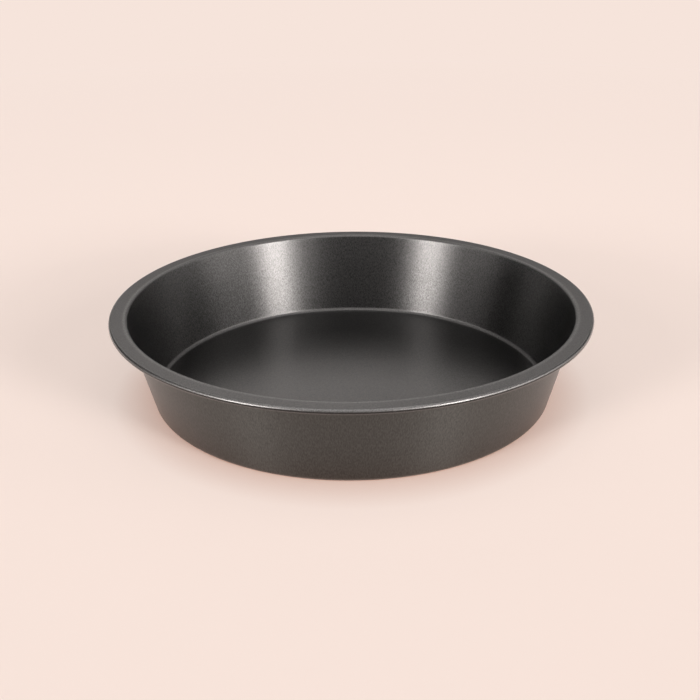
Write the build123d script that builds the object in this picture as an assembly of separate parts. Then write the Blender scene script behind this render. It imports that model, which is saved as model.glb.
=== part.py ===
from build123d import *
from math import atan2, degrees, radians, tan
import os

# Round cake tin, drawn from one disc of thin steel and coated inside and out.
# Millimetres, +Z up. The origin is on the tin's axis, on the surface that it stands on.

# Sizes over the finished, coated tin
rim_diameter = 250.0  # over the rolled edge
height = 46.5  # from the surface it stands on to the top of the flange

# Sizes of the steel's inner face, where its straight lines would meet
mouth_diameter = 232.0  # wall and flange
floor_diameter = 208.9  # wall and floor

# Layers
sheet_thickness = 0.6
inner_coat_thickness = 0.05
outer_coat_thickness = 0.04

# Bends
corner_radius = 2.2  # inside, between the floor and the wall
mouth_radius = 1.3  # over the top of the bend from the wall to the flange
roll_diameter = 2.7  # of the rolled edge, over its coat
roll_turn = 285  # degrees that the edge turns through, to its cut end just under the flange

floor_level = outer_coat_thickness + sheet_thickness
flange_level = height - inner_coat_thickness
roll_radius = roll_diameter / 2 - inner_coat_thickness

wall_rise = flange_level - floor_level
wall_spread = (mouth_diameter - floor_diameter) / 2
wall_turn = degrees(atan2(wall_rise, wall_spread))  # from the floor's direction to the wall's
bend_reach_share = tan(radians(wall_turn / 2))  # of a bend's radius, from where its lines meet to where it starts

corner_centre = Vector(
    floor_diameter / 2 - corner_radius * bend_reach_share,
    floor_level + corner_radius,
)
mouth_centre = Vector(
    mouth_diameter / 2 + mouth_radius * bend_reach_share,
    flange_level - mouth_radius,
)
roll_centre = Vector(
    (rim_diameter - roll_diameter) / 2,
    height - roll_diameter / 2,
)


def sheet_line(offset):
    """A line along the sheet from the axis to the cut edge, this far above the steel's inner face."""
    corner = CenterArc(corner_centre, corner_radius - offset, -90, wall_turn)
    mouth = CenterArc(mouth_centre, mouth_radius + offset, 90 + wall_turn, -wall_turn)
    roll = CenterArc(roll_centre, roll_radius + offset, 90, -roll_turn)
    floor = Line((0, (corner @ 0).Y), corner @ 0)
    wall = Line(corner @ 1, mouth @ 0)
    flange = Line(mouth @ 1, roll @ 0)
    return [floor, corner, wall, mouth, flange, roll]


def layer(upper_offset, lower_offset):
    """The ring-shaped solid between two of the sheet's lines, closed at the axis and at the cut edge."""
    upper = sheet_line(upper_offset)
    lower = sheet_line(lower_offset)
    axis_end = Line(upper[0] @ 0, lower[0] @ 0)
    cut_end = Line(upper[-1] @ 1, lower[-1] @ 1)
    section = make_face(upper + [cut_end] + lower + [axis_end])
    return revolve(Plane.XZ * section, Axis.Z)


def steel_pan():
    """Floor, corner, wall, flange and rolled edge, drawn from one sheet."""
    return layer(0, -sheet_thickness)


def inner_coating():
    """Non-stick coat over the floor, the wall, the flange's top and round the outside of the rolled edge."""
    return layer(inner_coat_thickness, 0)


def outer_coating():
    """Coat under the floor, outside the wall, under the flange and inside the rolled edge."""
    return layer(-sheet_thickness, -sheet_thickness - outer_coat_thickness)


def write_parts():
    """Writes each layer to its own file and prints what it measures."""
    os.makedirs("parts", exist_ok=True)
    for make in (steel_pan, inner_coating, outer_coating):
        solid = make()
        export_step(solid, f"parts/{make.__name__}.step")
        box = solid.bounding_box()
        print(make.__name__, "volume", round(solid.volume, 1), "mm3, box", box.size)


write_parts()
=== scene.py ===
"""The looks of a round cake tin: a drawn steel sheet with a dark grey non-stick coat on each face.

The sheet's section is a floor, a small corner, a sloping wall, a bend over the mouth, a flat flange
and a rolled edge. Each layer is that section carried once round the tin's axis.
Lengths are in metres: a number times MM is given in millimetres.
"""

import math

import bpy
import numpy as np
from mathutils import Matrix, Vector


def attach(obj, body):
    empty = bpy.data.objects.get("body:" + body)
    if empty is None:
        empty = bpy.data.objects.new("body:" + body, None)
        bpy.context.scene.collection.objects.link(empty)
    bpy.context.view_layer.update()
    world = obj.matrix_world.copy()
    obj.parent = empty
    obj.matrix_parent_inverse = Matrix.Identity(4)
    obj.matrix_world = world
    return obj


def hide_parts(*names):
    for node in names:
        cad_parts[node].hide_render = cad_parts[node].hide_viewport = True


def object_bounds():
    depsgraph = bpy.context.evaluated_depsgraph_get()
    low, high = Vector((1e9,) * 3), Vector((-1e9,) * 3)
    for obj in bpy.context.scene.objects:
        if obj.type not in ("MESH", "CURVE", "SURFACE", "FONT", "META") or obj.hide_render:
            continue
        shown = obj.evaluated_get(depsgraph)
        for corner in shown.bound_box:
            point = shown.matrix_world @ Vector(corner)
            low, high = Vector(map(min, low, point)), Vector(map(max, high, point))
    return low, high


bl_info = {
    "name": "Round Cake Tin",
    "version": (1, 0, 0),
    "blender": (4, 5, 0),
    "location": "3D Viewport > Sidebar > Cake Tin",
    "description": "Makes a coated, drawn steel cake tin and a pale table to stand it on",
    "category": "Add Mesh",
}

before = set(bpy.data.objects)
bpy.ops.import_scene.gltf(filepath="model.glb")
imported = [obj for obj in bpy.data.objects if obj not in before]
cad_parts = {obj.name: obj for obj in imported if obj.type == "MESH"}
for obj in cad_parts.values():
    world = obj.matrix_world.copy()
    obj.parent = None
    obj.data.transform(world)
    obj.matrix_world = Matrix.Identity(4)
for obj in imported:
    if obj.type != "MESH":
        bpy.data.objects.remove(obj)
CAD_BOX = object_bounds()
RIM_DIAMETER = CAD_BOX[1][0] - CAD_BOX[0][0]
TIN_HEIGHT = CAD_BOX[1][2] - CAD_BOX[0][2]

MM = 0.001


def linear(hex_colour):
    """An sRGB hex colour as linear RGBA."""
    shares = [int(hex_colour[i:i + 2], 16) / 255 for i in (1, 3, 5)]
    channels = [s / 12.92 if s <= 0.04045 else ((s + 0.055) / 1.055) ** 2.4 for s in shares]
    return (*channels, 1.0)


class TinSizes(bpy.types.PropertyGroup):
    """Sizes of the drawn sheet and its two coats."""

    rim_diameter: bpy.props.FloatProperty(
        name="Rim",
        description="Overall diameter over the rolled edge",
        default=RIM_DIAMETER,
        unit="LENGTH",
    )
    height: bpy.props.FloatProperty(
        name="Height",
        description="From the table to the top of the flange",
        default=TIN_HEIGHT,
        unit="LENGTH",
    )
    mouth_diameter: bpy.props.FloatProperty(
        name="Mouth",
        description="Where the wall's line meets the flange's",
        default=232.0 * MM,
        unit="LENGTH",
    )
    floor_diameter: bpy.props.FloatProperty(
        name="Floor",
        description="Where the wall's line meets the floor's",
        default=208.9 * MM,
        unit="LENGTH",
    )
    sheet: bpy.props.FloatProperty(
        name="Sheet",
        description="Thickness of the steel",
        default=0.6 * MM,
        unit="LENGTH",
    )
    inner_coat: bpy.props.FloatProperty(
        name="Inner coat",
        description="Thickness of the inside coat",
        default=0.05 * MM,
        unit="LENGTH",
    )
    outer_coat: bpy.props.FloatProperty(
        name="Outer coat",
        description="Thickness of the outside coat",
        default=0.04 * MM,
        unit="LENGTH",
    )
    corner_radius: bpy.props.FloatProperty(
        name="Corner",
        description="Radius between the floor and the wall",
        default=2.2 * MM,
        unit="LENGTH",
    )
    mouth_radius: bpy.props.FloatProperty(
        name="Mouth bend",
        description="Radius from the wall over to the flange",
        default=1.3 * MM,
        unit="LENGTH",
    )
    roll_diameter: bpy.props.FloatProperty(
        name="Roll",
        description="Diameter of the rolled edge over its coat",
        default=2.7 * MM,
        unit="LENGTH",
    )
    roll_turn: bpy.props.FloatProperty(
        name="Roll turn",
        description="How far the edge turns round",
        default=math.radians(285.0),
        unit="ROTATION",
    )


class TinColours(bpy.types.PropertyGroup):
    """Colours of the finishes and the table."""

    inner_coat: bpy.props.FloatVectorProperty(
        name="Inner coat",
        description="Coat on the floor and the flange",
        default=linear("#4E4E4E"),
        size=4,
        min=0.0,
        max=1.0,
        subtype="COLOR",
    )
    inner_wall: bpy.props.FloatVectorProperty(
        name="Inner wall",
        description="Drawn coat inside",
        default=linear("#585858"),
        size=4,
        min=0.0,
        max=1.0,
        subtype="COLOR",
    )
    outer_coat: bpy.props.FloatVectorProperty(
        name="Outer coat",
        description="Coat under the floor and the flange",
        default=linear("#434442"),
        size=4,
        min=0.0,
        max=1.0,
        subtype="COLOR",
    )
    outer_wall: bpy.props.FloatVectorProperty(
        name="Outer wall",
        description="Drawn coat outside",
        default=linear("#4C4D4B"),
        size=4,
        min=0.0,
        max=1.0,
        subtype="COLOR",
    )
    steel: bpy.props.FloatVectorProperty(
        name="Steel",
        description="Bare cut edge",
        default=linear("#C4C2BE"),
        size=4,
        min=0.0,
        max=1.0,
        subtype="COLOR",
    )
    table: bpy.props.FloatVectorProperty(
        name="Table",
        description="Paper that the tin stands on",
        default=linear("#F4E6DF"),
        size=4,
        min=0.0,
        max=1.0,
        subtype="COLOR",
    )


def add_node(tree, kind, inputs=None, **settings):
    """Adds a node, sets its own settings, and fills its inputs with values or other nodes' outputs.

    An input is given by its name, or by its number where several have the same name.
    """
    node = tree.nodes.new(kind)
    for name, value in settings.items():
        setattr(node, name, value)
    for key, value in (inputs or {}).items():
        if isinstance(value, bpy.types.NodeSocket):
            tree.links.new(value, node.inputs[key])
        else:
            node.inputs[key].default_value = value
    return node


def new_material(name):
    """A material with an empty node tree, as (material, tree)."""
    material = bpy.data.materials.new(name)
    material.use_nodes = True
    material.node_tree.nodes.clear()
    return material, material.node_tree


FLAKE_SPACING = 0.45 * MM
FLAKE_RELIEF = 0.03 * MM
GRAIN_DETAIL, GRAIN_ROUGHNESS = 1.0, 0.5
# the noise lies mostly between these two, and they become the darkest and the brightest flakes
GRAIN_LOW, GRAIN_HIGH = 0.3, 0.7
CLEAR_TOP_ROUGHNESS = 0.27
BEND_ROUGHNESS = 0.3  # added where a bend has cracked the coat

FLAT_FINISH = {"Roughness": 0.32, "Coat Weight": 1.0}
DRAWN_FINISH = {"Roughness": 0.39, "Anisotropic": 0.82, "Anisotropic Rotation": 0.25}
# drawing thins the clear top of the coat, more so inside, so less is reflected at a shallow angle
INNER_WALL_FINISH = {**DRAWN_FINISH, "Coat Weight": 0.58, "Specular Tint": (0.55, 0.55, 0.55, 1.0)}
OUTER_WALL_FINISH = {**DRAWN_FINISH, "Coat Weight": 0.73, "Specular Tint": (0.7, 0.7, 0.7, 1.0)}


def flake_coat(name, colour, finish, stretch, contrast):
    """Metal-flake non-stick enamel, sprayed and baked: a dark satin metal look with a fine grain.

    The real flakes are about 0.1 mm. They are drawn several times coarser here, as single ones
    would not show. They are as many times taller than wide as the stretch says, because a wall is
    drawn upwards, and the contrast is how much they differ in brightness.
    Bends crack the coat finely, so it is hazier there. Its colour is painted paler along the bends,
    a painted highlight, and darker where the rolled edge faces out, a painted shade line.
    """
    material, tree = new_material(name)
    place = add_node(tree, "ShaderNodeTexCoord").outputs["Object"]
    stretched = add_node(
        tree, "ShaderNodeMapping", {"Vector": place, "Scale": (1.0, 1.0, 1 / stretch)}
    )
    noise = add_node(
        tree,
        "ShaderNodeTexNoise",
        {
            "Vector": stretched.outputs["Vector"],
            "Scale": 1 / FLAKE_SPACING,
            "Detail": GRAIN_DETAIL,
            "Roughness": GRAIN_ROUGHNESS,
        },
    )
    grain = noise.outputs["Fac"]
    bump = add_node(
        tree, "ShaderNodeBump", {"Height": grain, "Strength": 1.0, "Distance": FLAKE_RELIEF}
    )
    speckle = add_node(
        tree,
        "ShaderNodeMapRange",
        {
            "Value": grain,
            "From Min": GRAIN_LOW,
            "From Max": GRAIN_HIGH,
            "To Min": 1 - contrast,
            "To Max": 1 + contrast,
        },
    ).outputs["Result"]
    # painted highlight and painted shade along the bends, read from the mesh
    painted_light = add_node(tree, "ShaderNodeAttribute", attribute_name="painted_light").outputs["Fac"]
    # the flakes' brightness times one more than the painted light: paler for a painted highlight,
    # darker for painted shade
    shade = add_node(
        tree, "ShaderNodeMath", {0: speckle, 1: painted_light, 2: speckle}, operation="MULTIPLY_ADD"
    )
    tint = add_node(
        tree,
        "ShaderNodeVectorMath",
        {"Vector": colour[:3], "Scale": shade.outputs["Value"]},
        operation="SCALE",
    )
    cracked = add_node(tree, "ShaderNodeAttribute", attribute_name="cracking").outputs["Fac"]
    smooth = finish["Roughness"]
    haze = add_node(
        tree,
        "ShaderNodeMapRange",
        {"Value": cracked, "To Min": smooth, "To Max": smooth + BEND_ROUGHNESS},
    )
    shader = add_node(
        tree,
        "ShaderNodeBsdfPrincipled",
        {
            **finish,
            "Base Color": tint.outputs["Vector"],
            "Metallic": 1.0,
            "Roughness": haze.outputs["Result"],
            "Coat Roughness": CLEAR_TOP_ROUGHNESS,
            "Normal": bump.outputs["Normal"],
            "Coat Normal": bump.outputs["Normal"],
        },
    )
    if "Anisotropic" in finish:
        around = add_node(tree, "ShaderNodeTangent", direction_type="RADIAL", axis="Z")
        tree.links.new(around.outputs["Tangent"], shader.inputs["Tangent"])
    add_node(tree, "ShaderNodeOutputMaterial", {"Surface": shader.outputs["BSDF"]})
    return material


STEEL_ROUGHNESS = 0.35


def bare_steel(name, colour):
    """Cold-rolled carbon steel, bare where the sheet was cut: a pale, slightly blurred shine."""
    material, tree = new_material(name)
    shader = add_node(
        tree,
        "ShaderNodeBsdfPrincipled",
        {"Base Color": colour, "Metallic": 1.0, "Roughness": STEEL_ROUGHNESS},
    )
    add_node(tree, "ShaderNodeOutputMaterial", {"Surface": shader.outputs["BSDF"]})
    return material


ROUND_STEPS = 384
FLOOR_STEPS, WALL_STEPS, FLANGE_STEPS = 20, 24, 10
BEND_STEPS, ROLL_STEPS = 12, 40


def arc(centre, radius, start, turn, steps):
    """Points on an arc: the centre plus the radius at evenly spaced angles, in radians."""
    angle = start + turn * np.linspace(0, 1, steps)
    return np.stack(
        [centre[0] + radius * np.cos(angle), centre[1] + radius * np.sin(angle)], axis=1
    )


def shares_between(steps):
    """Evenly spaced shares of a straight run, without its two ends."""
    return np.linspace(0, 1, steps + 2)[1:-1]


def straight(start, end, steps):
    """Points inside a straight run: its start and end, mixed by evenly spaced shares."""
    share = shares_between(steps)[:, None]
    return np.asarray(start) * (1 - share) + np.asarray(end) * share


def sheet_line(sizes, offset):
    """Radius and height along the sheet, from its axis to its cut edge.

    The line runs this far above the steel's inner face. Floor, wall and flange are straight. An arc
    joins each pair, with its radius less the offset where it is hollow above and plus the offset
    where it is round above, and a last arc rolls the edge round and under.
    """
    floor_level = sizes.outer_coat + sizes.sheet
    flange_level = sizes.height - sizes.inner_coat
    wall_spread = (sizes.mouth_diameter - sizes.floor_diameter) / 2
    turn = math.atan2(flange_level - floor_level, wall_spread)
    reach = math.tan(turn / 2)
    corner_centre = (
        sizes.floor_diameter / 2 - sizes.corner_radius * reach,
        floor_level + sizes.corner_radius,
    )
    mouth_centre = (
        sizes.mouth_diameter / 2 + sizes.mouth_radius * reach,
        flange_level - sizes.mouth_radius,
    )
    roll_centre = (
        (sizes.rim_diameter - sizes.roll_diameter) / 2,
        sizes.height - sizes.roll_diameter / 2,
    )
    roll_radius = sizes.roll_diameter / 2 - sizes.inner_coat
    quarter = math.pi / 2
    corner = arc(corner_centre, sizes.corner_radius - offset, -quarter, turn, BEND_STEPS)
    mouth = arc(mouth_centre, sizes.mouth_radius + offset, quarter + turn, -turn, BEND_STEPS)
    roll = arc(roll_centre, roll_radius + offset, quarter, -sizes.roll_turn, ROLL_STEPS)
    axis_point = np.array([0.0, corner[0][1]])
    return np.vstack([
        axis_point,
        straight(axis_point, corner[0], FLOOR_STEPS),
        corner,
        straight(corner[-1], mouth[0], WALL_STEPS),
        mouth,
        straight(mouth[-1], roll[0], FLANGE_STEPS),
        roll,
    ])


# painted highlights along the corner, the mouth and the top of the rolled edge; -1 is painted shade
# where the roll faces out
CORNER_HIGHLIGHT, MOUTH_HIGHLIGHT, ROLL_HIGHLIGHT, ROLL_SHADE = 1.0, 1.1, 2.0, -1.0
# each curve is its places and the marks there, and past its ends the mark stays the same
# along a bend and along the flange, a place is a share of the way; along the roll, degrees turned
MOUTH_HIGHLIGHT_CURVE = (0.0, 0.5), (0.0, MOUTH_HIGHLIGHT)
FLANGE_HIGHLIGHT_CURVE = (0.1, 0.22), (MOUTH_HIGHLIGHT, 0.0)
# along the roll: a painted highlight on top, then a painted shade line where it faces out
ROLL_HIGHLIGHT_AND_SHADE_CURVE = (
    (0.0, 10.0, 58.0, 74.0, 84.0, 97.0, 108.0),
    (0.0, ROLL_HIGHLIGHT, ROLL_HIGHLIGHT, 0.0, ROLL_SHADE, ROLL_SHADE, 0.0),
)
ROLL_CRACK_CURVE = (0.0, 20.0), (0.0, 0.3)


def bend_marks(sizes):
    """How far the coat is cracked by bending, and how much light and shade is painted on it, along
    the sheet's line.

    Cracking is the square root of a sine along the corner and the mouth, and the rolled edge is
    cracked a little all the way. The painted light is how much more the surface reflects, as a
    share:
    a painted highlight where it is above 0 and painted shade where it is below. It is that same
    hump along the corner, and it rises along the mouth's bend and ends just past it, on the flange.
    It is highest on top of the rolled edge, falls to -1, a painted shade line, where that faces
    out, and ends at 0 where it turns under. Both are 0 on the other straight runs.
    """
    along_bend = np.linspace(0, 1, BEND_STEPS)
    turned = np.linspace(0, math.degrees(sizes.roll_turn), ROLL_STEPS)
    hump = np.sqrt(np.sin(np.pi * along_bend))
    floor, wall, flange = np.zeros(1 + FLOOR_STEPS), np.zeros(WALL_STEPS), np.zeros(FLANGE_STEPS)
    cracked = [floor, hump, wall, hump, flange, np.interp(turned, *ROLL_CRACK_CURVE)]
    # painted highlights on the bends and a painted shade line on the rolled edge
    painted_light_runs = [
        floor,
        CORNER_HIGHLIGHT * hump,
        wall,
        np.interp(along_bend, *MOUTH_HIGHLIGHT_CURVE),
        np.interp(shares_between(FLANGE_STEPS), *FLANGE_HIGHLIGHT_CURVE),
        np.interp(turned, *ROLL_HIGHLIGHT_AND_SHADE_CURVE),
    ]
    return {"cracking": np.concatenate(cracked), "painted_light": np.concatenate(painted_light_runs)}


SHARP_ANGLE = math.radians(40.0)


def turned_mesh(name, upper, lower, marks):
    """A closed skin: the upper line out to the cut edge and the lower line back, carried round Z.

    A point at radius r and height z becomes (r cos a, r sin a, z) for evenly spaced angles a. The
    two points on the axis are single vertices, each with a fan of triangles. Each kind of mark has
    a value for each point of a line, and goes round with it.
    """
    section = np.vstack([upper[1:], lower[:0:-1]])
    rings = len(section)
    angle = np.linspace(0, 2 * np.pi, ROUND_STEPS, endpoint=False)
    grid = np.stack([
        section[:, :1] * np.cos(angle),
        section[:, :1] * np.sin(angle),
        np.repeat(section[:, 1:], ROUND_STEPS, axis=1),
    ], axis=2).reshape(-1, 3)
    poles = [(0.0, 0.0, upper[0][1]), (0.0, 0.0, lower[0][1])]
    here = np.arange(ROUND_STEPS)
    ahead = np.roll(here, -1)
    row = np.arange(rings - 1)[:, None] * ROUND_STEPS
    next_row = row + ROUND_STEPS
    quads = np.stack([row + here, next_row + here, next_row + ahead, row + ahead], axis=2)
    last_row = (rings - 1) * ROUND_STEPS
    top = np.full(ROUND_STEPS, rings * ROUND_STEPS)
    fans = np.concatenate([
        np.stack([top, here, ahead], axis=1),
        np.stack([top + 1, last_row + ahead, last_row + here], axis=1),
    ])
    faces = quads.reshape(-1, 4).tolist() + fans.tolist()
    mesh = bpy.data.meshes.new(name)
    mesh.from_pydata(np.vstack([grid, poles]), [], faces)
    mesh.shade_smooth()
    mesh.set_sharp_from_angle(angle=SHARP_ANGLE)
    mesh.validate()
    for kind, mark in marks.items():
        along = np.concatenate([mark[1:], mark[:0:-1]])
        values = np.concatenate([np.repeat(along, ROUND_STEPS), [0.0, 0.0]]).astype(np.float32)
        mesh.attributes.new(kind, "FLOAT", "POINT").data.foreach_set("value", values)
    return mesh


STEEPNESS_MARGIN = 0.01  # of the upward part of a face's normal


def mark_wall(mesh, sizes):
    """Gives the second material to the wall: faces as steep as it is, and inside the mouth."""
    count = len(mesh.polygons)
    centres, normals = np.empty(count * 3), np.empty(count * 3)
    mesh.polygons.foreach_get("center", centres)
    mesh.polygons.foreach_get("normal", normals)
    centres, normals = centres.reshape(-1, 3), normals.reshape(-1, 3)
    turn = math.atan2(sizes.height, (sizes.mouth_diameter - sizes.floor_diameter) / 2)
    steep = np.abs(normals[:, 2]) < math.cos(turn) + STEEPNESS_MARGIN
    inside = np.hypot(centres[:, 0], centres[:, 1]) < sizes.mouth_diameter / 2 + sizes.sheet
    mesh.polygons.foreach_set("material_index", (steep & inside).astype(np.int32))


def add_layer(name, node, materials, upper_offset, lower_offset):
    """Puts one layer in the scene in place of its CAD node."""
    sizes = bpy.context.scene.tin_sizes
    upper, lower = sheet_line(sizes, upper_offset), sheet_line(sizes, lower_offset)
    mesh = turned_mesh(name, upper, lower, bend_marks(sizes))
    for material in materials:
        mesh.materials.append(material)
    if len(materials) > 1:
        mark_wall(mesh, sizes)
    piece = bpy.data.objects.new(name, mesh)
    bpy.context.scene.collection.objects.link(piece)
    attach(piece, "root")
    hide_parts(node)


class MakeSteel(bpy.types.Operator):
    """Makes the drawn steel sheet between the coats"""

    bl_idname = "cake_tin.make_steel"
    bl_label = "Steel Sheet"

    def execute(self, context):
        sizes = context.scene.tin_sizes
        material = bare_steel("cold_rolled_steel", context.scene.tin_colours.steel)
        add_layer("drawn_sheet", "steel_pan", [material], 0.0, -sizes.sheet)
        return {"FINISHED"}


class MakeCoats(bpy.types.Operator):
    """Makes the non-stick coats on the inside and the outside"""

    bl_idname = "cake_tin.make_coats"
    bl_label = "Non-stick Coats"

    def execute(self, context):
        sizes = context.scene.tin_sizes
        colours = context.scene.tin_colours
        inner = [
            flake_coat(
                "inner_flake_enamel", colours.inner_coat, FLAT_FINISH, stretch=1.0, contrast=0.4
            ),
            flake_coat(
                "inner_drawn_flake_enamel",
                colours.inner_wall,
                INNER_WALL_FINISH,
                stretch=2.5,
                contrast=0.45,
            ),
        ]
        outer = [
            flake_coat(
                "outer_flake_enamel", colours.outer_coat, FLAT_FINISH, stretch=1.0, contrast=0.3
            ),
            flake_coat(
                "outer_drawn_flake_enamel",
                colours.outer_wall,
                OUTER_WALL_FINISH,
                stretch=5.0,
                contrast=0.25,
            ),
        ]
        underside = -sizes.sheet - sizes.outer_coat
        add_layer("inner_coat", "inner_coating", inner, sizes.inner_coat, 0.0)
        add_layer("outer_coat", "outer_coating", outer, -sizes.sheet, underside)
        return {"FINISHED"}


# a painted shadow on the paper's plain colour, around where the tin stands
CONTACT_SHADOW_REACH = 22.0 * MM
CONTACT_SHADOW_SAMPLES = 8
CONTACT_SHADOW_COLOUR, PLAIN_COLOUR = "#BF866C", "#F6E4DB"
PLAIN_SHARE = 0.55  # of the paper's brightness, up to the first distance; all of it from the second
PLAIN_FROM, PLAIN_TO = 0.3, 1.2
PAPER_ROUGHNESS = 0.5


def table_paper(name, colour):
    """Matt pale paper, evenly bright, so the tin's shadow on it is soft and light.

    Near the tin, about half of its brightness is the plain colour, which turns to a painted shadow,
    a darker colour, where the tin is close. The rest is the light that falls on it. Further out it
    is all plain, so the patches under the lamps don't show. Only the camera, gloss and glass see
    the plain colour.
    """
    material, tree = new_material(name)
    lit = add_node(tree, "ShaderNodeBsdfDiffuse", {"Color": colour, "Roughness": PAPER_ROUGHNESS})
    nearby = add_node(
        tree,
        "ShaderNodeAmbientOcclusion",
        {"Distance": CONTACT_SHADOW_REACH},
        samples=CONTACT_SHADOW_SAMPLES,
    )
    dark, pale = np.array(linear(CONTACT_SHADOW_COLOUR)[:3]), np.array(linear(PLAIN_COLOUR)[:3])
    # painted shadow: the dark colour, plus the open share times its difference from the pale one
    blend = add_node(
        tree,
        "ShaderNodeVectorMath",
        {0: nearby.outputs["AO"], 1: pale - dark, 2: dark},
        operation="MULTIPLY_ADD",
    )
    plain = add_node(
        tree, "ShaderNodeEmission", {"Color": blend.outputs["Vector"], "Strength": 1.0}
    )
    ray = add_node(tree, "ShaderNodeLightPath").outputs
    direct = add_node(
        tree,
        "ShaderNodeMath",
        {0: ray["Is Camera Ray"], 1: ray["Is Glossy Ray"]},
        operation="MAXIMUM",
    )
    seen = add_node(
        tree,
        "ShaderNodeMath",
        {0: direct.outputs["Value"], 1: ray["Is Transmission Ray"]},
        operation="MAXIMUM",
    )
    place = add_node(tree, "ShaderNodeTexCoord").outputs["Object"]
    away = add_node(tree, "ShaderNodeVectorMath", {"Vector": place}, operation="LENGTH")
    plainness = add_node(
        tree,
        "ShaderNodeMapRange",
        {
            "Value": away.outputs["Value"],
            "From Min": PLAIN_FROM,
            "From Max": PLAIN_TO,
            "To Min": PLAIN_SHARE,
            "To Max": 1.0,
        },
    )
    share = add_node(
        tree,
        "ShaderNodeMath",
        {0: seen.outputs["Value"], 1: plainness.outputs["Result"]},
        operation="MULTIPLY",
    )
    mix = add_node(
        tree,
        "ShaderNodeMixShader",
        {0: share.outputs["Value"], 1: lit.outputs["BSDF"], 2: plain.outputs["Emission"]},
    )
    add_node(tree, "ShaderNodeOutputMaterial", {"Surface": mix.outputs["Shader"]})
    return material


TABLE_REACH = 9.0
TABLE_LEVEL = -0.02 * MM


def add_table():
    """A wide flat table: four corners, just under the tin's base."""
    mesh = bpy.data.meshes.new("table_top")
    corners = [
        (x * TABLE_REACH, y * TABLE_REACH, TABLE_LEVEL)
        for x, y in ((-1, -1), (1, -1), (1, 1), (-1, 1))
    ]
    mesh.from_pydata(corners, [], [(0, 1, 2, 3)])
    mesh.materials.append(table_paper("matt_paper", bpy.context.scene.tin_colours.table))
    table = bpy.data.objects.new("table_top", mesh)
    bpy.context.scene.collection.objects.link(table)


LAMP_COLOUR = "#FFF8F4"
LAMP_DISTANCE = 3.0
# on each side at the front a narrow strip, brightest across its middle, and wide dim ones elsewhere
# name; azimuth from the front to the right, lower edge, upper edge and spread, in degrees; radiance
SOFTBOXES = (
    ("right_strip", 45.0, 10.0, 18.0, 13.0, 46.0),
    ("right_strip_foot", 45.0, 3.0, 10.0, 13.0, 9.0),
    ("right_strip_top", 45.0, 18.0, 30.0, 13.0, 13.0),
    ("left_strip", -47.0, 10.0, 18.0, 13.0, 38.0),
    ("left_strip_foot", -47.0, 3.0, 10.0, 13.0, 7.0),
    ("left_strip_top", -47.0, 18.0, 30.0, 13.0, 10.0),
    ("left_strip_high", -47.0, 30.0, 45.0, 13.0, 1.5),
    ("right_screen", 80.0, 3.0, 30.0, 20.0, 2.6),
    ("right_side_screen", 102.0, 3.0, 30.0, 24.0, 0.85),
    ("left_screen", -80.0, 3.0, 30.0, 20.0, 1.2),
    ("right_inner_screen", 62.0, 3.0, 18.0, 16.0, 2.0),
    ("left_inner_screen", -62.0, 3.0, 18.0, 16.0, 0.8),
    ("right_front_screen", 29.0, 3.0, 18.0, 18.0, 2.0),
    ("front_screen", 0.0, 3.0, 18.0, 40.0, 0.35),
    ("front_top", 0.0, 32.0, 48.0, 50.0, 0.35),
    ("back_screen", 180.0, 20.0, 27.0, 60.0, 0.68),
    ("right_back_screen", 165.0, 27.0, 45.0, 27.0, 0.66),
    ("left_back_screen", -165.0, 27.0, 45.0, 27.0, 0.85),
    ("right_top", 40.0, 45.0, 58.0, 25.0, 0.9),
    ("left_top", -40.0, 45.0, 58.0, 25.0, 0.9),
    ("right_back_top", 120.0, 45.0, 60.0, 25.0, 0.7),
    ("left_back_top", -120.0, 45.0, 60.0, 25.0, 0.4),
)


def add_softbox(name, azimuth, low, high, spread, radiance):
    """A rectangular lamp facing the tin. It fills these degrees up and across, seen from the tin.

    Its power is its radiance, how bright its face is next to white paper, times pi times its area.
    """
    width = 2 * LAMP_DISTANCE * math.tan(math.radians(spread / 2))
    height = 2 * LAMP_DISTANCE * math.tan(math.radians((high - low) / 2))
    lamp = bpy.data.lights.new(name, "AREA")
    lamp.shape = "RECTANGLE"
    lamp.size = width
    lamp.size_y = height
    lamp.energy = radiance * math.pi * width * height
    lamp.color = linear(LAMP_COLOUR)[:3]
    box = bpy.data.objects.new(name, lamp)
    bpy.context.scene.collection.objects.link(box)
    turn, rise = math.radians(azimuth), math.radians((low + high) / 2)
    aim = Vector((
        math.sin(turn) * math.cos(rise),
        -math.cos(turn) * math.cos(rise),
        math.sin(rise),
    ))
    box.location = aim * LAMP_DISTANCE + Vector((0.0, 0.0, TIN_HEIGHT / 2))
    box.rotation_euler = aim.to_track_quat("Z", "Y").to_euler()


ROOM_COLOUR = "#FFFAF7"
# heights are the upward part of a direction of length one
CEILING_FROM, CEILING_TO = 0.8, 0.95
DARK_ROOM, CEILING = 0.03, 1.1
HORIZON_FROM, HORIZON_TO = 0.06, 0.1
HORIZON = 0.8


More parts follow.
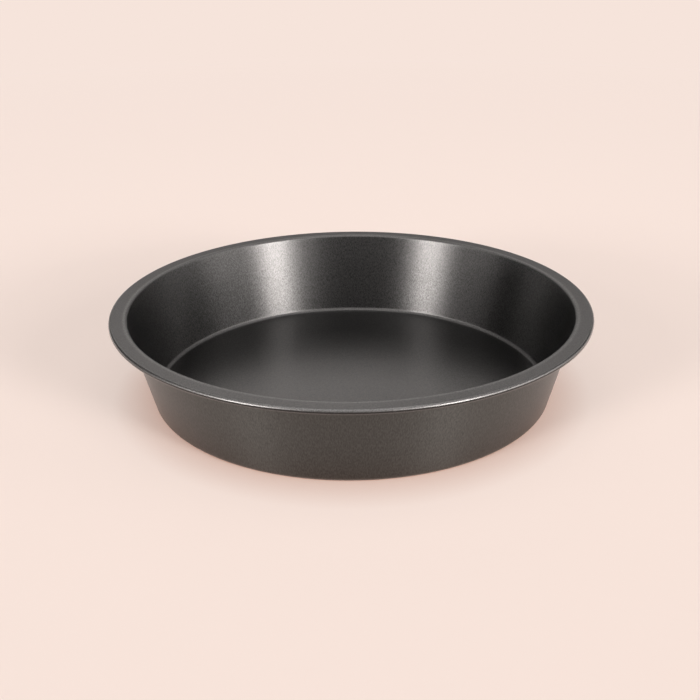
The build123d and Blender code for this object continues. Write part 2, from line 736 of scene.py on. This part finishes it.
def add_world():
    """A pale horizon, a dark room above it and a light ceiling. The camera sees a plain backdrop.

    The backdrop is the table's plain colour, and glass would show it too. Gloss mirrors the room
    itself: the dark coat gets its metal look from it, and would turn pale under the backdrop.
    """
    world = bpy.data.worlds.new("room")
    world.use_nodes = True
    bpy.context.scene.world = world
    tree = world.node_tree
    tree.nodes.clear()
    direction = add_node(tree, "ShaderNodeTexCoord").outputs["Generated"]
    upward = add_node(tree, "ShaderNodeSeparateXYZ", {"Vector": direction}).outputs["Z"]
    ceiling = add_node(
        tree,
        "ShaderNodeMapRange",
        {
            "Value": upward,
            "From Min": CEILING_FROM,
            "From Max": CEILING_TO,
            "To Min": DARK_ROOM,
            "To Max": CEILING,
        },
    )
    horizon = add_node(
        tree,
        "ShaderNodeMapRange",
        {
            "Value": upward,
            "From Min": HORIZON_FROM,
            "From Max": HORIZON_TO,
            "To Min": HORIZON,
            "To Max": 0.0,
        },
    )
    strength = add_node(
        tree,
        "ShaderNodeMath",
        {0: ceiling.outputs["Result"], 1: horizon.outputs["Result"]},
        operation="ADD",
    )
    room = add_node(
        tree,
        "ShaderNodeBackground",
        {"Color": linear(ROOM_COLOUR), "Strength": strength.outputs["Value"]},
    )
    backdrop = add_node(
        tree, "ShaderNodeBackground", {"Color": linear(PLAIN_COLOUR), "Strength": 1.0}
    )
    ray = add_node(tree, "ShaderNodeLightPath").outputs
    seen = add_node(
        tree,
        "ShaderNodeMath",
        {0: ray["Is Camera Ray"], 1: ray["Is Transmission Ray"]},
        operation="MAXIMUM",
    )
    mix = add_node(
        tree,
        "ShaderNodeMixShader",
        {
            0: seen.outputs["Value"],
            1: room.outputs["Background"],
            2: backdrop.outputs["Background"],
        },
    )
    add_node(tree, "ShaderNodeOutputWorld", {"Surface": mix.outputs["Shader"]})


IMAGE_PIXELS = 700
FIELD_PIXELS = 1017.8  # from the lens to the image, in pixels
BASE_PIXEL = (351.75, 381.425)  # the middle of the tin's base
CAMERA_ELEVATION = 25.579  # degrees
CAMERA_ROLL = 0.55  # degrees
CAMERA_DISTANCE_SHARE = 2.217208  # of the rim's diameter
SENSOR_WIDTH = 36.0  # millimetres, as Blender counts it


def add_camera():
    """A camera in front that looks down at the tin and sees its base's middle at its pixel.

    It aims at that point, rolls, and then turns by the angles between the image's middle and the
    pixel.
    """
    rise = math.radians(CAMERA_ELEVATION)
    distance = CAMERA_DISTANCE_SHARE * RIM_DIAMETER
    place = Vector((0.0, -math.cos(rise), math.sin(rise))) * distance
    ahead = -place.normalized()
    right = Vector((1.0, 0.0, 0.0))
    up = right.cross(ahead)
    middle = IMAGE_PIXELS / 2
    across = (BASE_PIXEL[0] - middle) / FIELD_PIXELS
    upward = (middle - BASE_PIXEL[1]) / FIELD_PIXELS
    aim = Vector((across, upward, 1.0)).normalized()
    # rows are the camera's right, up and ahead directions
    rows = (
        Matrix.Rotation(math.atan2(aim.x, aim.z), 3, "Y")
        @ Matrix.Rotation(-math.asin(aim.y), 3, "X")
        @ Matrix.Rotation(math.radians(CAMERA_ROLL), 3, "Z")
        @ Matrix((right, up, ahead))
    )
    data = bpy.data.cameras.new("camera")
    data.sensor_fit = "HORIZONTAL"
    data.sensor_width = SENSOR_WIDTH
    data.lens = FIELD_PIXELS / IMAGE_PIXELS * SENSOR_WIDTH
    camera = bpy.data.objects.new("camera", data)
    bpy.context.scene.collection.objects.link(camera)
    turned = Matrix((rows[0], rows[1], -rows[2])).transposed()
    camera.matrix_world = Matrix.Translation(place) @ turned.to_4x4()
    bpy.context.scene.camera = camera


class MakeStage(bpy.types.Operator):
    """Makes the table, the lamps, the room and the camera"""

    bl_idname = "cake_tin.make_stage"
    bl_label = "Table, Lamps and Camera"

    def execute(self, context):
        add_table()
        for softbox in SOFTBOXES:
            add_softbox(*softbox)
        add_world()
        add_camera()
        context.scene.view_settings.view_transform = "Standard"
        return {"FINISHED"}


GROUPS = (TinSizes, TinColours)
OPERATORS = (MakeSteel, MakeCoats, MakeStage)


class TinPanel(bpy.types.Panel):
    """Lists the tin's sizes and colours, and the buttons that make its pieces and its stage"""

    bl_idname = "VIEW3D_PT_cake_tin"
    bl_label = "Cake Tin"
    bl_space_type = "VIEW_3D"
    bl_region_type = "UI"
    bl_category = "Cake Tin"

    def draw(self, context):
        for group in (context.scene.tin_sizes, context.scene.tin_colours):
            for name in group.__annotations__:
                self.layout.prop(group, name)
        for operator in OPERATORS:
            self.layout.operator(operator.bl_idname)


def register():
    for kind in (*GROUPS, *OPERATORS, TinPanel):
        bpy.utils.register_class(kind)
    bpy.types.Scene.tin_sizes = bpy.props.PointerProperty(type=TinSizes)
    bpy.types.Scene.tin_colours = bpy.props.PointerProperty(type=TinColours)


def unregister():
    del bpy.types.Scene.tin_colours
    del bpy.types.Scene.tin_sizes
    for kind in (TinPanel, *OPERATORS, *GROUPS):
        bpy.utils.unregister_class(kind)


def main():
    """Makes the tin and its stage."""
    register()
    bpy.ops.cake_tin.make_steel()
    bpy.ops.cake_tin.make_coats()
    bpy.ops.cake_tin.make_stage()


if __name__ == "__main__":
    main()
